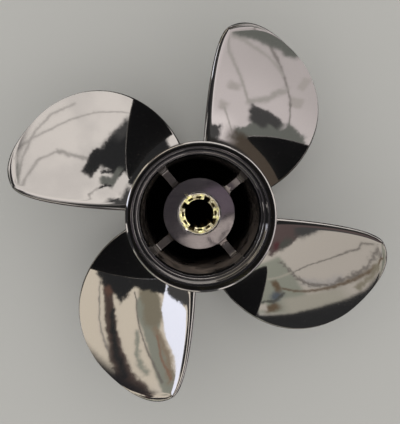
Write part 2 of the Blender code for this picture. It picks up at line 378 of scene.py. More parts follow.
def scratch_group():
    """Height of long thin scratches that run every way over a face, as grit and tools leave."""
    tree, given, result = new_group("crossing_scratches", {"Depth": 1.0}, ["Height"])
    where = piece_place(tree)
    total = None
    for turn, stretch, scale in SCRATCH_LAYERS:
        along = stretched(tree, where, (0, 0, math.radians(turn)), (1, stretch, 1))
        line = math_node(tree, "SUBTRACT", noise(tree, along, scale, 3, 0.6), 0.5)
        line = smooth_step(tree, math_node(tree, "ABSOLUTE", line), SCRATCH_HALF, 0.0)
        total = line if total is None else math_node(tree, "ADD", total, line)
    cut = times(tree, total, given.outputs["Depth"])
    tree.links.new(cut, result.inputs["Height"])
    return tree


def scratch_paint(material, depth):
    """Cuts scratches into a paint's relief."""
    tree = material.node_tree
    bump = next(node for node in tree.nodes if node.type == "BUMP")
    whole = bump.inputs["Height"].links[0].from_socket
    cuts = place(tree, "ShaderNodeGroup", node_tree=scratch_group())
    cuts.inputs["Depth"].default_value = depth
    height = math_node(tree, "SUBTRACT", whole, cuts.outputs["Height"])
    tree.links.new(height, bump.inputs["Height"])


def pick(piece):
    """Selects one piece alone."""
    bpy.ops.object.select_all(action="DESELECT")
    piece.select_set(True)
    bpy.context.view_layer.objects.active = piece


def round_edges(piece, width, segments=2, angle=SHARP_ANGLE):
    """Breaks the sharp edges with a small round, as paint does, and keeps the flats flat."""
    pick(piece)
    bpy.ops.object.shade_smooth_by_angle(angle=angle)
    bevel = piece.modifiers.new("edges", "BEVEL")
    bevel.width = width
    bevel.segments = segments
    bevel.limit_method = "ANGLE"
    bevel.angle_limit = angle
    bevel.use_clamp_overlap = True
    bevel.harden_normals = True
    for modifier in list(piece.modifiers):
        bpy.ops.object.modifier_apply(modifier=modifier.name)


hub_look = (HUB_BLACK, 0.10, 1.0, (5.5, 3.0, 0.16), (0.25, 0.8, 0.6))
hub_paint = paint("hub_face_paint", *hub_look, tint=HUB_TINT)
scratch_paint(hub_paint, SCRATCH_DEPTH)
bore = BUSH_RADIUS + FIT_GAP
hole = SLEEVE_RADIUS + FIT_GAP
hub_profile = [
    (HUB_RADIUS, HUB_END),
    (HUB_RADIUS, HUB_START),
    (bore, HUB_START),
    (bore, HUB_END - HUB_PLATE),
    (hole, HUB_END - HUB_PLATE),
    (hole, HUB_END),
]
hub = turned_ring("hub", hub_profile, HUB_SEGMENTS)
round_edges(hub, HUB_ROUND, 3)
dress(hub, hub_paint, "gloss_black_paint", "casting")

# Ribs: four webs of the casting that carry the hub inside the barrel, with exhaust passages
# between them. They are as cast, with a soft round into the hub and the wall, and their aft ends
# lie a little below the hub's face.
RIB_COUNT = 4
RIB_THICKNESS = 0.0066
RIB_START = 0.013
RIB_END = 0.0660
RIB_ANGLE = math.radians(40)
RIB_STATIONS = 44
RIB_FILLET = 0.0032
RIB_RISE = 0.0034
WALL_RISE = 0.0024
RIB_SINK = 0.0008
RIB_ROUND = 0.0007
WELD = 0.000001
RIB_SHARP_ANGLE = math.radians(50)
WALL_RADIUS = INNER_WALL[2][0]
RIB_BLACK = (0.030, 0.025, 0.023, 1)
RIB_BROWN = (0.085, 0.070, 0.062, 1)
# Painted highlight: the pale pink that lights the aft ends of two ribs by the hub.
RIB_HIGHLIGHT_PINK = (0.85, 0.74, 0.70, 1)
RIB_HIGHLIGHT_REACH = 0.0062
RIB_HIGHLIGHT_FADE = 0.0010
RIB_HIGHLIGHT_FRAY = 0.006

rib_look = (RIB_BLACK, 0.24, 0.5, (2.0, 1.0, 1.0), (0.5, 0.6, 0.6))
rib_paint = paint("rib_paint", *rib_look, tint=RIB_BROWN)


def paint_rib_end_highlights(material):
    """Paints a pale pink highlight on the aft ends of two ribs next to the hub, on their +x side.
    """
    tree = material.node_tree
    shader = tree.nodes["Principled BSDF"]
    where = piece_place(tree)
    apart, radius = from_shaft(tree, where)
    reach = math_node(tree, "MULTIPLY_ADD", noise(tree, where, 480, 4, 0.7), RIB_HIGHLIGHT_FRAY, radius)
    outside = HUB_RADIUS + RIB_HIGHLIGHT_REACH
    pale_share = smooth_step(tree, reach, outside, outside - RIB_HIGHLIGHT_FADE)
    at_end = smooth_step(tree, apart[2], RIB_END - 0.0006, RIB_END - 0.0001)
    one_side = smooth_step(tree, apart[0], 0.0, 0.010)
    pale_share = times(tree, times(tree, pale_share, at_end), one_side)
    whole = shader.inputs["Base Color"].links[0].from_socket
    tree.links.new(mixed(tree, pale_share, whole, RIB_HIGHLIGHT_PINK), shader.inputs["Base Color"])


def fillet_share(distance, radius):
    """How far a round still stands out at a distance from the wall it runs into."""
    left = min(max(radius - distance, 0.0), radius)
    return radius - math.sqrt(radius**2 - left**2)


def make_rib(name, angle):
    """A grid between hub and wall, widened at its ends by the rounds, then drawn down."""
    bpy.ops.object.select_all(action="DESELECT")
    inner, outer = HUB_RADIUS - RIB_SINK, WALL_RADIUS + RIB_SINK
    bpy.ops.mesh.primitive_grid_add(
        x_subdivisions=RIB_STATIONS, y_subdivisions=4, size=1, location=(0, 0, 0)
    )
    rib = named(name)
    for vert in rib.data.vertices:
        along = inner + (outer - inner) * (vert.co.x + 0.5)
        near = min(along - inner, outer - along)
        half = RIB_THICKNESS / 2 + fillet_share(near, RIB_FILLET)
        rise = fillet_share(along - HUB_RADIUS, RIB_RISE)
        rise += fillet_share(WALL_RADIUS - along, WALL_RISE)
        vert.co = (along, 2 * half * vert.co.y, RIB_END + rise)
    edit_all()
    down = (0, 0, RIB_START - RIB_END)
    bpy.ops.mesh.extrude_region_move(TRANSFORM_OT_translate={"value": down})
    bpy.ops.transform.resize(value=(1, 1, 0), center_override=(0, 0, RIB_START))
    bpy.ops.mesh.select_all(action="SELECT")
    bpy.ops.mesh.normals_make_consistent(inside=False)
    bpy.ops.transform.rotate(value=-angle, orient_axis="Z", center_override=(0, 0, 0))
    bpy.ops.object.mode_set(mode="OBJECT")
    return rib


paint_rib_end_highlights(rib_paint)
for index in range(RIB_COUNT):
    rib = make_rib(f"rib_{index + 1}", RIB_ANGLE + index * 2 * math.pi / RIB_COUNT)
    round_edges(rib, RIB_ROUND, 3, RIB_SHARP_ANGLE)
    edit_all()
    bpy.ops.mesh.remove_doubles(threshold=WELD)  # corners that the round has shrunk to nothing
    bpy.ops.object.mode_set(mode="OBJECT")
    dress(rib, rib_paint, "gloss_black_paint", "casting")

# Rubber: the ring moulded between hub and sleeve, which takes up the engine's shocks. Only its
# ends can be seen. It has drawn in a little between the metal walls as it set, and is dusty and
# crazed where it is bare.
BUSH_START = 0.013
BUSH_DIP = 0.0012
BUSH_LIP = 0.0008
BUSH_DIP_EDGE = 0.4 * BUSH_DIP
BUSH_SEGMENTS = 120
BUSH_ROUND = 0.0003
RUBBER_BLACK = (0.018, 0.017, 0.016, 1)
RUBBER_GREY = (0.070, 0.064, 0.058, 1)

rubber_look = (RUBBER_BLACK, 0.72, 0.0, (2.0, 0.5, 2.5), (0.9, 0.8, 0.5))
rubber = paint("bush_rubber", *rubber_look, tint=RUBBER_GREY)
bush_top = HUB_END - HUB_PLATE - FIT_GAP
sleeve_side = SLEEVE_RADIUS + FIT_GAP
middle = (BUSH_RADIUS + sleeve_side) / 2
bush_profile = [
    (BUSH_RADIUS, bush_top),
    (BUSH_RADIUS, BUSH_START),
    (BUSH_RADIUS - BUSH_LIP, BUSH_START + BUSH_DIP_EDGE),
    (middle, BUSH_START + BUSH_DIP),
    (sleeve_side + BUSH_LIP, BUSH_START + BUSH_DIP_EDGE),
    (sleeve_side, BUSH_START),
    (sleeve_side, bush_top),
]
bush = turned_ring("rubber_ring", bush_profile, BUSH_SEGMENTS)
round_edges(bush, BUSH_ROUND)
dress(bush, rubber, "bush_rubber", "rubber_bush")

# Sleeve: a brass tube through the rubber, splined for the engine's shaft, with four deep notches
# in its aft end. Nuts and washers have hammered that end, so thin lips of brass nearly close the
# splines and a burr stands out.
SLEEVE_START = 0.004
SLEEVE_END = 0.069
SLEEVE_EDGE = 0.0005
SPLINE_COUNT = 12
SPLINE_ANGLE = math.radians(62)
SPLINE_TIP = 0.0121
SPLINE_ROOT = 0.0149
GROOVE_HALF = math.radians(8.2)
NOTCH_HALF = math.radians(10.4)
NOTCH_EVERY = 3
NOTCH_ROOT = 0.0157
NOTCH_DEPTH = 0.009
NOTCH_DROPS = (0.0003, 0.0012, 0.0030, 0.0045, 0.0060, 0.0072, 0.0084, NOTCH_DEPTH)
SLEEVE_SEGMENTS = 720
SLEEVE_SMOOTH_ANGLE = math.radians(28)
HAMMERED_DEPTH = 0.0008
DENT_SIZE, DENT_SCALE = 0.00022, 420
PIT_SIZE, PIT_SCALE = 0.0001, 1500
RAGGED_SIZE, RAGGED_SCALE = 0.00016, 900
RAGGED_START = Vector((0, 0, 4))
# Burrs: where round the end, how far out, and half width, the angles in degrees.
BURRS = (
    (126.2, 0.0039, 1.5), (122.3, 0.0029, 1.7), (118.0, 0.0008, 3.0), (231.0, 0.0006, 4.0),
    (352.0, 0.0005, 5.0),
)
BURR_TOP = 0.0030
# How much of a burr's way out and up the rings about the end's edge take.
BURR_RINGS = {-1: (1.0, 0.85), 0: (1.0, 1.0), 1: (0.3, 0.62)}
BRASS = (0.44, 0.41, 0.25, 1)
PALE_BRASS = (0.80, 0.78, 0.58, 1)
HIGHLIGHT_BRASS = (1.0, 0.98, 0.50, 1)
# Painted highlights: where round the end the brass is painted bright, and half of how far, in
# degrees.
HIGHLIGHT_ANGLES = ((12, 7), (193, 12), (222, 8), (277, 9), (345, 7), (128, 16), (80, 6))
# Bare outer edge of the end, lilac white as a painted reflection of the sky.
BARE_EDGE_AND_SHEEN = (0.88, 0.84, 0.87, 1)
# Dark brass of the grease patches, and painted shade down the bore.
TARNISH_AND_SHADE = (0.12, 0.095, 0.040, 1)
RING_SCALE = 900.0
BAND_SCALE = 620.0
RING_HEIGHT = 0.00006
BAND_HEIGHT = 0.00005

# Paths of (radius, height) from the end face's outer edge, over it and down the bore.
top = SLEEVE_END
face = [(0.0172, top), (0.0167, top), (0.0163, top), (0.0160, top)]
groove_foot = [(SPLINE_ROOT, SLEEVE_START + 0.0006), (SPLINE_ROOT + 0.0003, SLEEVE_START)]
LAND_PATH = [
    *face, (0.0155, top), (0.0150, top), (0.0145, top), (0.0138, top - 0.0001),
    (0.0132, top - 0.0001), (0.0127, top - 0.0002), (SPLINE_TIP + 0.0002, top - 0.0004),
    (SPLINE_TIP, top - 0.0008), (SPLINE_TIP, top - 0.0040), (SPLINE_TIP, top - 0.0100),
    (SPLINE_TIP, SLEEVE_START + 0.0006), (SPLINE_TIP + 0.0006, SLEEVE_START),
]
GROOVE_PATH = [
    *face, (0.0154, top - 0.0001), (SPLINE_ROOT, top - 0.0004), (SPLINE_ROOT, top - 0.0024),
    (0.0138, top - 0.0030), (0.0129, top - 0.0030), (0.0128, top - 0.0005),
    (SPLINE_TIP + 0.0002, top - 0.0006), (SPLINE_TIP, top - 0.0010), (SPLINE_TIP, top - 0.0036),
    (SPLINE_ROOT, top - 0.0048), *groove_foot,
]
NOTCH_PATH = [
    *face,
    *((NOTCH_ROOT, top - drop) for drop in NOTCH_DROPS),
    (SPLINE_ROOT, top - NOTCH_DEPTH), (SPLINE_ROOT, top - 0.0110), *groove_foot,
]
OUTSIDE_PATH = [
    (SLEEVE_RADIUS - SLEEVE_EDGE, SLEEVE_START), (SLEEVE_RADIUS, SLEEVE_START + SLEEVE_EDGE),
    (SLEEVE_RADIUS, top - SLEEVE_EDGE), (SLEEVE_RADIUS - 0.0003, top),
]


def sleeve_path(angle):
    """The path that the brass follows at an angle: over a land, into a groove, or into a notch."""
    step = 2 * math.pi / SPLINE_COUNT
    number = round((angle - SPLINE_ANGLE) / step)
    off = abs(angle - SPLINE_ANGLE - number * step)
    if number % NOTCH_EVERY == 0:
        return NOTCH_PATH if off < NOTCH_HALF else LAND_PATH
    return GROOVE_PATH if off < GROOVE_HALF else LAND_PATH


def turn_sleeve():
    """A turned ring whose points take their places on the land, groove or notch they fall in."""
    sleeve = turned_ring("sleeve", OUTSIDE_PATH + LAND_PATH, SLEEVE_SEGMENTS)
    first_face = len(OUTSIDE_PATH)
    for vert in sleeve.data.vertices:
        ring = vert.index // SLEEVE_SEGMENTS
        angle = math.atan2(vert.co.y, vert.co.x)
        radius, height = (OUTSIDE_PATH + sleeve_path(angle))[ring]
        if height > top - HAMMERED_DEPTH:
            where = Vector((math.cos(angle), math.sin(angle), 0)) * radius
            dent = DENT_SIZE * abs(hammer.noise(where * DENT_SCALE))
            height -= dent + PIT_SIZE * abs(hammer.noise(where * PIT_SCALE))
            radius += RAGGED_SIZE * hammer.noise(where * RAGGED_SCALE + RAGGED_START)
        out, up = BURR_RINGS.get(ring - first_face, (0, 0))
        for place_angle, reach, width in BURRS:
            off = math.degrees(abs(angle % (2 * math.pi) - math.radians(place_angle)))
            share = max(1 - off / width, 0)
            radius += reach * share * out
            height += min(reach, BURR_TOP) * share * up
        vert.co = (radius * math.cos(angle), radius * math.sin(angle), height)
    return sleeve


def brass_finish():
    """Brass with turning marks and grease, painted highlights on its end, and painted shade in its
    bore.
    """
    material, tree, shader = new_material("worn_brass")
    where = piece_place(tree)
    apart, radius = from_shaft(tree, where)
    angle = math_node(tree, "ARCTAN2", apart[1], apart[0])
    rings = flat_vector(tree, times(tree, radius, RING_SCALE), angle)
    rings = noise(tree, rings, 3, 4, 0.7)
    bands = flat_vector(tree, times(tree, radius, BAND_SCALE), angle)
    pale_share = smooth_step(tree, noise(tree, bands, 1.4, 3, 0.6), 0.44, 0.58)
    shade = mixed(tree, pale_share, BRASS, PALE_BRASS)
    # Painted highlights: the end's brass made brighter at the listed angles, where it catches the
    # sky.
    turn = math_node(tree, "DEGREES", angle)
    highlight_share = None
    for middle_angle, half in HIGHLIGHT_ANGLES:
        off = math_node(tree, "SUBTRACT", turn, middle_angle)
        off = math_node(tree, "WRAP", off, 180, -180)
        near = smooth_step(tree, math_node(tree, "ABSOLUTE", off), half * 1.3, half * 0.7)
        highlight_share = near if highlight_share is None else math_node(tree, "MAXIMUM", highlight_share, near)
    uneven = smooth_step(tree, noise(tree, where, 700, 3, 0.6), 0.35, 0.5)
    highlight_share = times(tree, highlight_share, uneven)
    shade = mixed(tree, highlight_share, shade, HIGHLIGHT_BRASS)
    # Bare metal round the end's outer edge, with a painted reflection that makes it lilac white.
    edge = smooth_step(tree, radius, SLEEVE_RADIUS - 0.0009, SLEEVE_RADIUS - 0.0005)
    within = smooth_step(tree, radius, SLEEVE_RADIUS + 0.0004, SLEEVE_RADIUS + 0.0001)
    edge = times(tree, edge, within)
    shade = mixed(tree, edge, shade, BARE_EDGE_AND_SHEEN)
    grease = smooth_step(tree, noise(tree, where, 520, 4, 0.7), 0.52, 0.64)
    clean = math_node(tree, "MAXIMUM", highlight_share, edge)
    grease = times(tree, grease, math_node(tree, "SUBTRACT", 1.0, clean))
    # Painted shade: the bore goes dark from just below the end down.
    bore_shade = smooth_step(tree, apart[2], SLEEVE_END - 0.0006, SLEEVE_END - 0.0022)
    grease_and_shade = math_node(tree, "MAXIMUM", times(tree, grease, 0.85), bore_shade)
    shade = mixed(tree, grease_and_shade, shade, TARNISH_AND_SHADE)
    tree.links.new(shade, shader.inputs["Base Color"])
    shader.inputs["Metallic"].default_value = 1.0
    rough = blended(tree, rings, 0.32, 0.52)
    tree.links.new(blended(tree, grease_and_shade, rough, 0.65), shader.inputs["Roughness"])
    height = times(tree, rings, RING_HEIGHT)
    height = math_node(tree, "MULTIPLY_ADD", pale_share, BAND_HEIGHT, height)
    raise_surface(tree, shader, height)
    return material


sleeve = turn_sleeve()
bpy.ops.object.shade_smooth_by_angle(angle=SLEEVE_SMOOTH_ANGLE)
dress(sleeve, brass_finish(), "sleeve_brass", "spline_sleeve")

# Blades: four right-handed screw surfaces, cast with the barrel, ground and painted in the same
# gloss black. Each has a blunt trailing edge, a cup along it and round the tip, and a round that
# runs into the barrel at its root.
BLADE_COUNT = 4
BLADE_PITCH = 0.356
BLADE_RAKE = 0.15
BLADE_MIDDLE_ANGLE = math.radians(52)
BLADE_MIDDLE_HEIGHT = 0.0455
ROOT_THICKNESS = 0.0105
TIP_THICKNESS = 0.0042
ROOT_EDGE_THICKNESS = 0.0036
TIP_EDGE_THICKNESS = 0.0027
ROOT_FILLET = 0.0090
CUP_SLOPE = 0.60
CUP_WIDTH = 0.0056
TIP_CUP_WIDTH = 0.0058
LAND_WIDTH = 0.0025
LAND_LEAST = 0.0004
LAND_NARROWING = 0.0023
LAND_WIDENING = 0.45
TIP_LAND_WIDTH = LAND_WIDTH - 0.0006
LAND_RINGS = 6
AFT_NOSE = 0.0018
FORWARD_NOSE = 0.0007
LEADING_ROOT_ANGLE = math.radians(11.1)
TRAILING_ROOT_ANGLE = math.radians(84.0)
LEADING_HANDLES = ((0.0983, 0.0285), (0.1255, 0.0813))
SHOULDER = (0.0908, 0.1251)
TIP_HANDLES = ((0.0803, 0.1384), (0.0479, 0.1684))
TIP_CORNER = (0.0235, 0.1521)
TRAILING_HANDLES = ((0.0058, 0.0924), (0.0116, 0.1441))
SHOULDER_REACH = Vector(SHOULDER).length
CHORD_STEPS = 60
SPAN_STEPS = 76
ROOT_SINK = 0.00012
STEP_BUNCHING = 0.119
OUTLINE_TRIM = 0.0008
OUTLINE_TRIM_REACH = 0.05
BLADE_ROUND = 0.00035
BLADE_SHARP_ANGLE = math.radians(30)


def bezier(start, handles, end, share):
    """A point on a curve with two handles, at a share of its way."""
    left = 1 - share
    weights = (left**3, 3 * left**2 * share, 3 * left * share**2, share**3)
    parts = (Vector(corner) * weight for corner, weight in zip((start, *handles, end), weights))
    return sum(parts, Vector((0, 0)))


def across(radius, angle):
    return Vector((radius * math.cos(angle), radius * math.sin(angle)))


def helix_height(radius, angle):
    """How high a blade's aft face lies."""
    turned_by = (angle - BLADE_MIDDLE_ANGLE) / (2 * math.pi)
    return BLADE_MIDDLE_HEIGHT + turned_by * BLADE_PITCH + BLADE_RAKE * (radius - BARREL_RADIUS)


def root_radius(angle):
    """The radius at which the aft face meets the barrel."""
    return outer_radius(helix_height(BARREL_RADIUS, angle))


def plan_point(chord, span):
    """A point in the outline.

    chord runs from leading to trailing edge and span from root to tip, both from 0 to 1.
    """
    angles = (LEADING_ROOT_ANGLE, TRAILING_ROOT_ANGLE)
    root_angle = angles[0] + (angles[1] - angles[0]) * chord
    roots = [across(root_radius(angle), angle) for angle in angles]
    root = across(root_radius(root_angle), root_angle)
    tip = bezier(SHOULDER, TIP_HANDLES, TIP_CORNER, chord)
    leading = bezier(roots[0], LEADING_HANDLES, SHOULDER, span)
    trailing = bezier(roots[1], TRAILING_HANDLES, TIP_CORNER, span)
    between_ends = root * (1 - span) + tip * span
    between_edges = leading * (1 - chord) + trailing * chord
    root_line = roots[0] * (1 - chord) + roots[1] * chord
    tip_line = Vector(SHOULDER) * (1 - chord) + Vector(TIP_CORNER) * chord
    return between_ends + between_edges - root_line * (1 - span) - tip_line * span


def smooth(share):
    """An eased way from 0 to 1."""
    share = min(max(share, 0.0), 1.0)
    return share * share * (3 - 2 * share)


def trailing_inset(span):
    """How far inside the trailing edge's outline the aft face ends, where the land begins."""
    return LAND_WIDTH - LAND_NARROWING * (1 - LAND_WIDENING * span)


def tip_inset(chord):
    """The same at the tip, where the land starts from nothing at the leading edge."""
    return TIP_LAND_WIDTH * smooth(2.2 * chord)


def cup_height(plan, chord, span):
    """How far the aft face is turned up towards the trailing edge and the tip.

    The slope grows all the way to the edge. The tip's cup fades in along the chord, and the
    trailing edge's is narrower near the root.
    """
    trailing = (plan_point(1, span) - plan).length - trailing_inset(span)
    tip = (plan_point(chord, 1) - plan).length - tip_inset(chord)
    tip_width = TIP_CUP_WIDTH * smooth(2.0 * chord - 0.8)
    trailing_width = CUP_WIDTH * (0.6 + 0.4 * smooth(1.5 * span))
    rises = []
    for distance, width in ((trailing, trailing_width), (tip, max(tip_width, 0.0001))):
        rises.append(CUP_SLOPE / 3 * width * max(1 - max(distance, 0) / width, 0) ** 3)
    return (rises[0] ** 3 + rises[1] ** 3) ** (1 / 3)


def blade_point(chord, span, forward):
    """A point of the blade's skin.

    Its aft face is the helix with a cup, and its forward face carries the thickness.
    """
    plan = plan_point(chord, span)
    outside = smooth((plan.length - BARREL_RADIUS) / OUTLINE_TRIM_REACH)
    radius = plan.length * (1 - OUTLINE_TRIM * outside)
    angle = math.atan2(plan.y, plan.x)
    height = helix_height(radius, angle)
    out = min(max((radius - BARREL_RADIUS) / (SHOULDER_REACH - BARREL_RADIUS), 0.0), 1.0)
    bulge = (4 * chord * (1 - chord)) ** 0.8 * math.sqrt(max(1 - span**4, 0))
    edge = ROOT_EDGE_THICKNESS + (TIP_EDGE_THICKNESS - ROOT_EDGE_THICKNESS) * out
    middle = ROOT_THICKNESS + (TIP_THICKNESS - ROOT_THICKNESS) * out
    thickness = edge + (middle - edge) * bulge
    rise = min(max(radius - outer_radius(height), 0.0), ROOT_FILLET)
    fillet = ROOT_FILLET - math.sqrt(ROOT_FILLET**2 - (ROOT_FILLET - rise) ** 2)
    fillet *= (4 * chord * (1 - chord)) ** 1.2
    nose = FORWARD_NOSE if forward else AFT_NOSE
    nose -= math.sqrt(nose**2 - max(nose - (plan_point(0, span) - plan).length, 0) ** 2)
    depth = thickness + fillet - nose if forward else nose - fillet
    slope = math.atan2(BLADE_PITCH, 2 * math.pi * radius)
    angle += depth * math.sin(slope) / radius
    height += cup_height(plan, chord, span) - depth * math.cos(slope)
    if span == 0:
        radius = outer_radius(height) - ROOT_SINK
    return Vector((*across(radius, angle), height))


def steps_share(even):
    """Closer steps at both ends than in the middle."""
    return even - STEP_BUNCHING * math.sin(2 * math.pi * even)


def make_blade(name):
    """A flat grid given a thickness, whose points then take their places on the blade's skin.

    The rings between its two faces become the round along the blunt trailing edge and the tip.
    """
    bpy.ops.object.select_all(action="DESELECT")
    bpy.ops.mesh.primitive_grid_add(
        x_subdivisions=CHORD_STEPS, y_subdivisions=SPAN_STEPS, size=2, location=(0, 0, 0)
    )
    blade = named(name)
    edit_all()
    for _ in range(LAND_RINGS):
        bpy.ops.mesh.extrude_region_move(TRANSFORM_OT_translate={"value": (0, 0, 1)})
    bpy.ops.object.mode_set(mode="OBJECT")
    for vert in blade.data.vertices:
        chord = steps_share(min(max((vert.co.x + 1) / 2, 0.0), 1.0))
        span = steps_share(min(max((vert.co.y + 1) / 2, 0.0), 1.0))
        width = (plan_point(1, span) - plan_point(0, span)).length
        length = (plan_point(chord, 1) - plan_point(chord, 0)).length
        aft_chord = chord * (1 - trailing_inset(span) / width)
        aft_span = span * (1 - tip_inset(chord) / length)
        aft = blade_point(aft_chord, aft_span, False)
        forward = blade_point(chord, span, True)
        level = round(vert.co.z)
        if level == LAND_RINGS:
            vert.co = aft
        elif level == 0:
            vert.co = forward
        else:
            turn = math.pi / 2 * (LAND_RINGS - level) / (LAND_RINGS - 1)
            land = aft.lerp(forward, math.sin(turn))
            drop = min((aft.xy - forward.xy).length, aft.z - forward.z - LAND_LEAST)
            land.z = aft.z - max(drop, 0) * (1 - math.cos(turn))
            vert.co = forward.lerp(aft, level / LAND_RINGS).lerp(land, smooth(6 * chord))
    edit_all()
    bpy.ops.mesh.normals_make_consistent(inside=False)
    bpy.ops.object.mode_set(mode="OBJECT")
    return blade


def turned_copy(piece, name, angle):
    """The same piece again, with a mesh of its own, turned about the shaft."""
    pick(piece)
    bpy.ops.object.duplicate(linked=False)
    copy = named(name)
    edit_all()
    bpy.ops.transform.rotate(value=-angle, orient_axis="Z", center_override=(0, 0, 0))
    bpy.ops.object.mode_set(mode="OBJECT")
    return copy


first_blade = make_blade("blade_1")
round_edges(first_blade, BLADE_ROUND, 3, BLADE_SHARP_ANGLE)
blades = [first_blade]
for index in range(1, BLADE_COUNT):
    turn = index * 2 * math.pi / BLADE_COUNT
    blades.append(turned_copy(first_blade, f"blade_{index + 1}", turn))
for blade in blades:
    dress(blade, gloss_paint, "gloss_black_paint", "casting")

# The studio: a plain pale floor, a soft light all round as from a sky, and a camera at the
# photo's viewing angle. What the gloss paint mirrors hangs round the part as plain cards and
# cloths, which only glossy rays see. For those rays the floor is darker, a painted shade for the
# shade that the blades cast on it, and under the barrel it is painted black, a painted shade for
# the barrel's dark inside.
CAMERA_PLACE = (-0.02226, 0.04048, 0.66168)
CAMERA_TURN = (-0.0659, -0.0386, 0)
CAMERA_LENS = 59.43
SENSOR = 36
FLOOR_SIZE = 60
FLOOR_DROP = 0.0003
FLOOR_ROUGHNESS = 0.9
FLOOR_SPECULAR = 0.05
# Painted shade: the floor is painted black inside these radii, under the barrel, and glossy rays
# see it darker.
PAINTED_SHADE_FROM, PAINTED_SHADE_TO = BARREL_RADIUS - 0.003, BARREL_RADIUS - 0.001
FLOOR_COLOUR = (0.46, 0.46, 0.44, 1)
FLOOR_MIRRORED_SHADE = (0.05, 0.05, 0.048, 1)
PAINTED_SHADE_BLACK = (0.004, 0.004, 0.004, 1)
SKY_COLOUR = (0.72, 0.66, 0.61, 1)
SKY_SHADE = (0.62, 0.57, 0.53, 1)
HORIZON_DARK = (0.020, 0.018, 0.016, 1)
SKY_GLOSS = 9.0
SKY_SOFT = 1.0
SKY_LOW = (1.25, 1.23, 1.21, 1)
SKY_TOP = (0.35, 0.34, 0.34, 1)
BLACK_CLOTH = (0.016, 0.016, 0.016, 1)
GREY_CLOTH = (0.050, 0.048, 0.046, 1)
GREEN_CLOTH = (0.125, 0.127, 0.112, 1)
BROWN_CLOTH = (0.060, 0.046, 0.034, 1)
DARK_BROWN_CLOTH = (0.060, 0.040, 0.033, 1)
PLUM_CLOTH = (0.082, 0.058, 0.054, 1)
RED_CLOTH = (0.075, 0.028, 0.030, 1)
ROSE_CARD = (0.55, 0.49, 0.475, 1)
ROSE_SHADE = (0.47, 0.42, 0.405, 1)
ROSE_LIGHT = (0.68, 0.61, 0.59, 1)
STONE_CARD = (0.43, 0.385, 0.335, 1)
DULL_STONE = (0.335, 0.31, 0.255, 1)
SAGE_CARD = (0.24, 0.242, 0.196, 1)
FIRM_CREASE = (0.19, 0.17, 0.155, 1)
CREASE = (0.36, 0.33, 0.305, 1)
STONE_CREASE = (0.13, 0.115, 0.10, 1)
RUST_LINE = (0.22, 0.12, 0.075, 1)
RED_BROWN = (0.10, 0.055, 0.040, 1)
OCHRE_CLOTH = (0.112, 0.078, 0.048, 1)
BEIGE_CARD = (0.62, 0.54, 0.435, 1)
OLIVE_CARD = (0.20, 0.175, 0.125, 1)
OLIVE_DARK = (0.065, 0.064, 0.055, 1)
DULL_BROWN = (0.23, 0.18, 0.125, 1)
SLATE_CARD = (0.080, 0.092, 0.105, 1)
MAUVE_CARD = (0.40, 0.36, 0.335, 1)
WHITE_CARD = (0.93, 0.94, 1.05, 1)
OVERHEAD_DARK = (0.012, 0.011, 0.012, 1)
ZENITH_SHADE = (0.040, 0.036, 0.038, 1)
ZENITH_PURPLE = (0.115, 0.085, 0.110, 1)
ZENITH_GAP = (0.52, 0.44, 0.41, 1)
ZENITH_DARK = (0.018, 0.016, 0.018, 1)
# The azimuth at which the sky's flat map is cut, and elevations where it changes, in degrees.
SEAM = 197
HAZE_FROM, HAZE_TO = 0, 5
HORIZON_FROM, HORIZON_TO = 3, 6
OVERHEAD_FROM, OVERHEAD_TO = 52.5, 55
ZENITH_FROM, ZENITH_TO = 81.2, 82.6
SOFT_FROM, SOFT_TO = 40, 80
# How fine the tears in the edges of cards, strokes and the zenith's cards are.
CARD_TEARS = 7.0
STROKE_TEARS = 38.0
ZENITH_TEARS = 60.0
# Cards and cloths hung round the part: colour, azimuth and elevation of the middle, half width
# and half height, turn, all in degrees, how soft the edge is, and how far it is torn.
BACKDROPS = (
    (ROSE_CARD, 325, 30, 32, 40, 0, 0.40, 0),
    (STONE_CARD, 243, 32, 30, 44, 0, 0.35, 0),
    (BEIGE_CARD, 140, 34, 36, 44, 0, 0.30, 0),
    (SAGE_CARD, 224.5, 26, 13, 14, 20, 0.12, 2),
    (DULL_STONE, 234, 41.8, 12, 3.0, 24, 0.30, 2),
    (ROSE_SHADE, 322, 47, 26, 9, 0, 0.60, 6),
    (ROSE_LIGHT, 343, 14, 9, 6, 0, 0.60, 6),
    (MAUVE_CARD, 340.5, 24, 2.6, 1.9, 0, 0.60, 8),
    (MAUVE_CARD, 338.5, 32.5, 2.6, 1.1, 0, 0.60, 8),
    (MAUVE_CARD, 314, 38.2, 2.3, 1.6, -30, 0.30, 3),
    (MAUVE_CARD, 317, 43, 1.2, 1.8, -20, 0.30, 3),
)
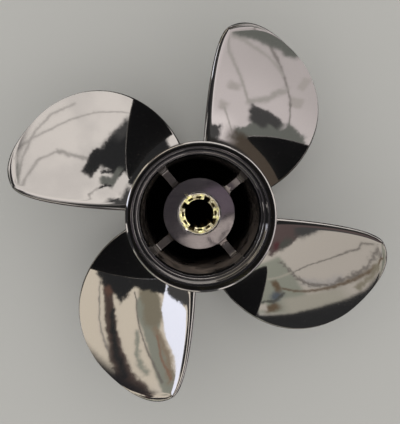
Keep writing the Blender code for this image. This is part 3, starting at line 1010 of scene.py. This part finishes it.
# Creases and folds, drawn as strokes: colour, half width, how soft, how far torn, and the azimuth
# and elevation of the points they run through.
CREASES = (
    (CREASE, 0.30, 0.9, 2, ((75, 51.6), (70, 50.7), (63.7, 49.1), (58.7, 46), (56.9, 43.5))),
    (CREASE, 0.8, 0.9, 5, ((57.5, 45), (56.5, 41), (55, 35))),
    (CREASE, 0.22, 0.9, 1.5,
     ((64, 54), (58.7, 52), (52.5, 49.1), (46.2, 46.6), (36.2, 41.6), (27.5, 35.4), (22, 31))),
    (CREASE, 0.22, 0.9, 2, ((74, 52.5), (66, 52.6), (56, 52.0), (48, 50.5), (40, 47.5))),
    (CREASE, 0.5, 0.9, 6, ((75.5, 30), (72, 30.2), (70, 29), (66.5, 26))),
    (FIRM_CREASE, 0.30, 0.9, 2,
     ((308, 31), (311, 33.5), (315, 36.8), (320, 39.7), (324, 41.7), (328, 43.7), (334, 46.2))),
    (CREASE, 0.35, 0.9, 2, ((324, 41.5), (327.5, 42.7), (332.5, 43.7), (337.5, 44.5), (345, 45.7))),
    (CREASE, 1.1, 0.9, 5, ((320, 38.5), (322, 36), (323, 33.5), (326.5, 31), (330, 29))),
    (CREASE, 0.5, 0.9, 2,
     ((345.5, 44.5), (344, 42), (340, 38.5), (335, 34), (332.5, 31.5), (330, 29))),
    (CREASE, 0.5, 0.9, 3, ((340, 23), (337, 19), (334.5, 15.5), (332.5, 13))),
    (CREASE, 1.5, 0.9, 8, ((238, 35), (242, 40), (247, 42.5))),
    (STONE_CREASE, 0.55, 0.9, 10,
     ((238, 20), (239, 22), (237.5, 27), (236.8, 32.5), (238, 36.5), (241, 39.5), (243.5, 41.5))),
    (STONE_CREASE, 0.45, 0.9, 8,
     ((242, 40.5), (243.5, 41.5), (248, 43.2), (252.5, 45.2), (257.5, 46), (263.5, 46.5))),
    (STONE_CREASE, 0.26, 0.9, 2.5,
     ((239, 29), (245, 31.5), (250, 35), (258, 40.5), (260, 42.5), (262.5, 42.5), (263.5, 45))),
    (OCHRE_CLOTH, 0.42, 0.9, 3,
     ((228, 31), (231, 34.5), (235, 37.5), (239, 40), (243, 42.2), (251.5, 45.7), (258, 47.7))),
    (DULL_STONE, 0.5, 0.9, 2, ((226, 23.5), (231, 26), (237, 28))),
    (OLIVE_CARD, 0.6, 0.9, 6, ((249, 47.0), (254, 47.9), (262, 48.2))),
    (FIRM_CREASE, 0.24, 0.9, 2,
     ((121, 39), (126, 42), (130, 44), (135, 47), (140, 49), (145, 50.7), (156, 53.7))),
    (SAGE_CARD, 2.5, 0.20, 2, ((156, 39.5), (160, 42), (164, 45), (168, 47.8), (174, 51))),
    (SAGE_CARD, 4.3, 0.20, 2, ((146, 31), (150, 34.2), (155.5, 37))),
    (OLIVE_CARD, 5.3, 0.30, 6, ((144, 25), (150, 28), (154, 33))),
    (BEIGE_CARD, 0.9, 0.50, 4, ((152, 42.3), (157, 45.6), (162, 48.6))),
    (SAGE_CARD, 0.7, 0.9, 5, ((151, 42), (153.5, 44.5), (155.5, 46.5), (158, 48.7), (164, 50.6))),
    (STONE_CREASE, 0.30, 0.9, 2,
     ((138, 30), (141.5, 32), (145.5, 36), (150.5, 40), (155.5, 43), (160.5, 46), (170.5, 51))),
    (DULL_BROWN, 1.2, 0.8, 5, ((158, 37.5), (163, 40.5), (168, 44), (173, 49.5))),
    (RUST_LINE, 0.33, 0.9, 2, ((160, 39.5), (163, 42.5), (165.5, 45), (168, 46.7), (173, 49.5))),
    (DARK_BROWN_CLOTH, 1.9, 0.25, 5,
     ((124, 37), (133, 41.5), (141, 46), (149, 50), (158, 53.5), (172, 56))),
    (BLACK_CLOTH, 0.9, 0.60, 5, ((136, 42), (141, 45.5), (149, 50), (158, 53.5))),
)
CARDS = (
    (BLACK_CLOTH, 36.5, 17, 22, 15, 8, 0.09, 14),
    (BLACK_CLOTH, 55, 32.5, 6.5, 2.6, 8, 0.15, 10),
    (GREY_CLOTH, 32.5, 30, 6, 2.4, 0, 0.60, 6),
    (SKY_SHADE, 61, 14.6, 7.5, 3.2, 8, 0.20, 8),
    (GREEN_CLOTH, 58.5, 20.0, 6.5, 1.7, 4, 0.40, 8),
    (GREEN_CLOTH, 62.2, 24, 2.2, 3.2, -10, 0.40, 10),
    (GREY_CLOTH, 72, 8, 9, 5, 10, 0.40, 16),
    (GREY_CLOTH, 74, 16, 1.6, 5, 8, 0.50, 10),
    (GREY_CLOTH, 278, 33, 7, 20, 0, 0.20, 6),
    (BLACK_CLOTH, 204, 33, 7, 26, 0, 0.10, 0),
    (GREEN_CLOTH, 315, 20.3, 18, 4.4, -31, 0.15, 16),
    (GREEN_CLOTH, 303, 29, 7, 3.5, 0, 0.20, 12),
    (GREEN_CLOTH, 317, 25.0, 8, 3.0, -25, 0.20, 6),
    (GREY_CLOTH, 319.5, 27.9, 8.5, 2.0, -6, 0.20, 6),
    (GREY_CLOTH, 321.5, 25.4, 5.2, 3.0, -10, 0.30, 6),
    (BROWN_CLOTH, 298, 7.5, 34, 9.5, -5, 0.25, 14),
    (GREY_CLOTH, 353, 6, 13, 7, 0, 0.15, 16),
    (BLACK_CLOTH, 119, 25, 17, 13, 0, 0.06, 14),
    (RED_BROWN, 127, 38.2, 2.6, 1.3, 10, 0.60, 8),
    (BLACK_CLOTH, 142, 18, 13, 7, -24, 0.15, 14),
    (OCHRE_CLOTH, 218, 36.0, 3.6, 1.5, 5, 0.50, 7),
    (STONE_CARD, 214.2, 34.3, 1.8, 1.5, 20, 0.50, 5),
    (SLATE_CARD, 223.3, 32.4, 3.2, 1.7, -12, 0.70, 8),
    (OCHRE_CLOTH, 226.5, 28.6, 1.3, 2.9, 8, 0.60, 6),
    (BLACK_CLOTH, 223, 46.0, 27, 5.5, 17, 0.10, 3),
    (PLUM_CLOTH, 258, 10.5, 17, 10.5, 24, 0.12, 14),
    (GREY_CLOTH, 262, 23, 6, 4, 40, 0.40, 12),
    (OLIVE_DARK, 250, 16.0, 4.5, 2.6, 10, 0.50, 8),
    (RED_CLOTH, 246.5, 12.5, 3.5, 1.6, -15, 0.80, 8),
)
FRONT_FOLDS = (
    (WHITE_CARD, 6.5, 0.05, 2.5,
     ((160.5, 15), (163, 26), (168, 33), (176, 39.5), (182, 48), (184, 56))),
    (WHITE_CARD, 4.5, 0.05, 1, ((167.5, 26.5), (168.5, 36))),
    (GREY_CLOTH, 5.0, 0.15, 9, ((160, 15), (174, 17), (190, 18))),
    (BLACK_CLOTH, 7.0, 0.10, 2, ((181.5, 15), (181.7, 30), (186, 50), (189, 58))),
    (BLACK_CLOTH, 0.9, 0.6, 5, ((58, 27.5), (56, 22.5))),
    (BLACK_CLOTH, 0.7, 0.6, 5, ((67.5, 26.5), (65, 24), (64.5, 21))),
    (OLIVE_DARK, 0.45, 0.8, 5, ((214, 32), (217, 32.3), (221, 34), (227, 32.8))),
    (BLACK_CLOTH, 0.8, 0.5, 2, ((246, 49.2), (262, 50.0))),
)
# What the cups of two tips mirror, past the edge of the dark overhead.
HIGH_CARDS = (
    (GREEN_CLOTH, 338, 52.0, 13, 6, 0, 0.08, 5),
    (GREEN_CLOTH, 76, 57, 8, 4.8, -8, 0.15, 3),
)
# What the hub's flat face mirrors round the camera, counted in degrees from straight overhead.
ZENITH_CARDS = (
    (ZENITH_PURPLE, 4.3, -2.9, 1.3, 1.7, 20, 0.4, 2),
    (ZENITH_DARK, -0.5, -4.4, 1.4, 3.4, -12, 0.5, 3),
    (ZENITH_DARK, 2.3, -1.6, 1.6, 0.25, 10, 0.5, 2),
    (ZENITH_DARK, 4.7, -4.2, 0.7, 0.35, 20, 0.5, 2),
    (ZENITH_GAP, 3.3, -5.7, 2.3, 0.85, 22, 0.30, 2),
    (ZENITH_GAP, 5.3, -1.2, 0.5, 0.45, 40, 0.3, 1),
    (ZENITH_DARK, 3.2, -6.2, 0.12, 0.6, 30, 0.8, 2),
    (ZENITH_DARK, 4.2, -5.6, 0.10, 0.6, -25, 0.8, 2),
)

camera_data = bpy.data.cameras.new("camera")
camera_data.sensor_fit = "VERTICAL"
camera_data.sensor_height = SENSOR
camera_data.lens = CAMERA_LENS
camera = bpy.data.objects.new("camera", camera_data)
camera.location = CAMERA_PLACE
camera.rotation_euler = CAMERA_TURN
bpy.context.scene.collection.objects.link(camera)
bpy.context.scene.camera = camera

bpy.ops.object.select_all(action="DESELECT")
bpy.ops.mesh.primitive_plane_add(size=FLOOR_SIZE, location=(0, 0, -FLOOR_DROP))
floor = bpy.context.object
floor.name = "floor"
bpy.ops.object.transform_apply(location=True)
floor_material, tree, floor_shader = new_material("pale_floor")
away = vector_node(tree, "LENGTH", {0: piece_place(tree)}, "Value")
# Painted shade: black on the floor under the barrel, where its inside lies in deep shade.
outside = smooth_step(tree, away, PAINTED_SHADE_FROM, PAINTED_SHADE_TO)
# Painted shade: glossy rays see the floor darker, for the shade that the blades cast on it.
is_glossy = place(tree, "ShaderNodeLightPath").outputs["Is Glossy Ray"]
pale = mixed(tree, is_glossy, FLOOR_COLOUR, FLOOR_MIRRORED_SHADE)
tree.links.new(mixed(tree, outside, PAINTED_SHADE_BLACK, pale), floor_shader.inputs["Base Color"])
floor_shader.inputs["Roughness"].default_value = FLOOR_ROUGHNESS
floor_shader.inputs["Specular IOR Level"].default_value = FLOOR_SPECULAR
floor.data.materials.append(floor_material)

world = bpy.data.worlds.new("studio")
bpy.context.scene.world = world
world.use_nodes = True
sky = world.node_tree
sky.nodes.clear()
direction = place(sky, "ShaderNodeTexCoord").outputs["Generated"]
apart = place(sky, "ShaderNodeSeparateXYZ", {0: direction}).outputs
azimuth = math_node(sky, "DEGREES", math_node(sky, "ARCTAN2", apart[1], apart[0]))
azimuth = math_node(sky, "WRAP", azimuth, SEAM, SEAM - 360)
elevation = math_node(sky, "DEGREES", math_node(sky, "ARCSINE", apart[2]))
round_about = flat_vector(sky, azimuth, elevation)
overhead = vector_node(sky, "SCALE", {0: direction, "Scale": math.degrees(1)})


def sky_map(flat, scale):
    """A flat map of the sky, and the shifts that tear straight edges in it."""
    values = {"Vector": direction, "Scale": scale, "Detail": 8.0, "Roughness": 0.76}
    tear = place(sky, "ShaderNodeTexNoise", values).outputs[1]
    return flat, vector_node(sky, "SUBTRACT", {0: tear, 1: (0.5, 0.5, 0.5)})


def torn_place(torn_map, reach):
    """A place in a map, shifted by up to half the reach."""
    flat, tear = torn_map
    return vector_node(sky, "MULTIPLY_ADD", {0: tear, 1: (reach, reach * 0.75, 0), 2: flat})


def seen_from(azimuth):
    """An azimuth counted the way that the sky's seam asks for."""
    return azimuth - 360 if azimuth > SEAM else azimuth


def hang_card(below, torn_map, colour, middle, height, half_width, half_height, turn, soft, reach):
    """Lays one card over the sky colours below it."""
    values = {
        "Vector": torn_place(torn_map, reach),
        "Location": (seen_from(middle), height, 0),
        "Rotation": (0, 0, math.radians(turn)),
        "Scale": (half_width, half_height, 1),
    }
    inside = place(sky, "ShaderNodeMapping", values, vector_type="TEXTURE").outputs[0]
    inside = vector_node(sky, "ABSOLUTE", {0: inside})
    sides = place(sky, "ShaderNodeSeparateXYZ", {0: inside}).outputs
    shares = [smooth_step(sky, side, 1 + soft, 1 - soft) for side in sides[:2]]
    return mixed(sky, times(sky, *shares), below, colour)


def draw_stroke(below, torn_map, colour, half_width, soft, reach, points):
    """Lays a stroke along a line of points over the sky colours below it."""
    spot = torn_place(torn_map, reach)
    nearest = None
    corners = [Vector((seen_from(azimuth), height, 0)) for azimuth, height in points]
    for start, end in zip(corners, corners[1:]):
        way = end - start
        from_start = vector_node(sky, "SUBTRACT", {0: spot, 1: start})
        along = {0: from_start, 1: way / way.length_squared}
        along = vector_node(sky, "DOT_PRODUCT", along, "Value")
        along = place(sky, "ShaderNodeClamp", {"Value": along}).outputs[0]
        foot = vector_node(sky, "SCALE", {0: way, "Scale": along})
        off = vector_node(sky, "DISTANCE", {0: from_start, 1: foot}, "Value")
        nearest = off if nearest is None else math_node(sky, "MINIMUM", nearest, off)
    share = smooth_step(sky, nearest, half_width * (1 + soft), half_width * (1 - soft))
    return mixed(sky, share, below, colour)


def by_elevation(start, end, low, high):
    """Goes from one sky colour to another between two elevations."""
    return mixed(sky, smooth_step(sky, elevation, start, end), low, high)


card_map = sky_map(round_about, CARD_TEARS)
stroke_map = sky_map(round_about, STROKE_TEARS)
zenith_map = sky_map(overhead, ZENITH_TEARS)
cloud = smooth_step(sky, noise(sky, direction, 5, 5), 0.35, 0.65)
shine = mixed(sky, cloud, SKY_SHADE, SKY_COLOUR)
shine = by_elevation(HAZE_FROM, HAZE_TO, HORIZON_DARK, shine)
for card in BACKDROPS:
    shine = hang_card(shine, card_map, *card)
for stroke in CREASES:
    shine = draw_stroke(shine, stroke_map, *stroke)
for card in CARDS:
    shine = hang_card(shine, card_map, *card)
for stroke in FRONT_FOLDS:
    shine = draw_stroke(shine, stroke_map, *stroke)
shine = by_elevation(HORIZON_FROM, HORIZON_TO, HORIZON_DARK, shine)
shine = by_elevation(OVERHEAD_FROM, OVERHEAD_TO, shine, OVERHEAD_DARK)
shine = by_elevation(ZENITH_FROM, ZENITH_TO, shine, ZENITH_SHADE)
for card in HIGH_CARDS:
    shine = hang_card(shine, card_map, *card)
for card in ZENITH_CARDS:
    shine = hang_card(shine, zenith_map, *card)
low = by_elevation(SOFT_FROM, SOFT_TO, SKY_LOW, SKY_TOP)
diffuse = place(sky, "ShaderNodeBackground", {"Color": low, "Strength": SKY_SOFT}).outputs[0]
glossy = place(sky, "ShaderNodeBackground", {"Color": shine, "Strength": SKY_GLOSS}).outputs[0]
is_glossy = place(sky, "ShaderNodeLightPath").outputs["Is Glossy Ray"]
both = place(sky, "ShaderNodeMixShader", {0: is_glossy, 1: diffuse, 2: glossy})
place(sky, "ShaderNodeOutputWorld", {0: both.outputs[0]})
bpy.context.scene.view_settings.view_transform = "Standard"
